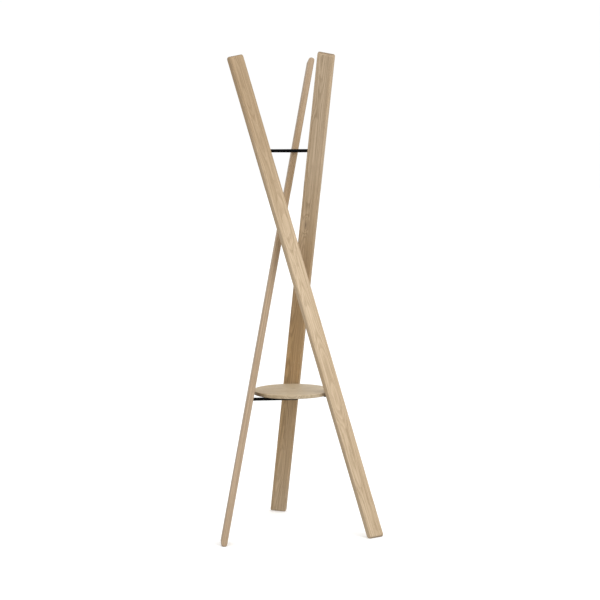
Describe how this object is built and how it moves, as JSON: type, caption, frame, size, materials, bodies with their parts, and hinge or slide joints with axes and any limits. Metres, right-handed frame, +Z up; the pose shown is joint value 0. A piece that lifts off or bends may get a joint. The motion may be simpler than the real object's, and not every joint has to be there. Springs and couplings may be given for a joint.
{
  "type": "standing coat rack",
  "caption": "Free-standing coat rack: slanted oak slats crossing in a twist, tied by a black steel hanger ring near the top and a round oak shelf low down.",
  "frame": {"origin": "the middle of the footprint box, on the floor; the central axis of the rack stands at X -0.0367, Y -0.0510", "axes": "+Z up; seen along +Y from the front, the wide-faced slat leans from the lower right (+X) to the upper left"},
  "size_m": [0.602, 0.5864, 1.7859],
  "materials": {
    "oak": "matt oiled, fine straight grain",
    "black_steel": "satin black powder coat",
    "zinc_steel": "zinc plated",
    "brass": "turned"
  },
  "bodies": {
    "root": {"bolt_plug_left": "oak", "bolt_plug_rear": "oak", "bolt_plug_right": "oak", "hanger_bar_back_left": "black_steel", "hanger_bar_back_right": "black_steel", "hanger_bar_front": "black_steel", "hanger_bolt_left": "zinc_steel", "hanger_bolt_rear": "zinc_steel", "hanger_bolt_right": "zinc_steel", "peg_insert_left": "brass", "peg_insert_rear": "brass", "peg_insert_right": "brass", "shelf_board": "oak", "shelf_peg_left": "black_steel", "shelf_peg_rear": "black_steel", "shelf_peg_right": "black_steel", "shelf_screw_left": "zinc_steel", "shelf_screw_rear": "zinc_steel", "shelf_screw_right": "zinc_steel", "slat_left": "oak", "slat_rear": "oak", "slat_right": "oak"}
  },
  "joints": []
}
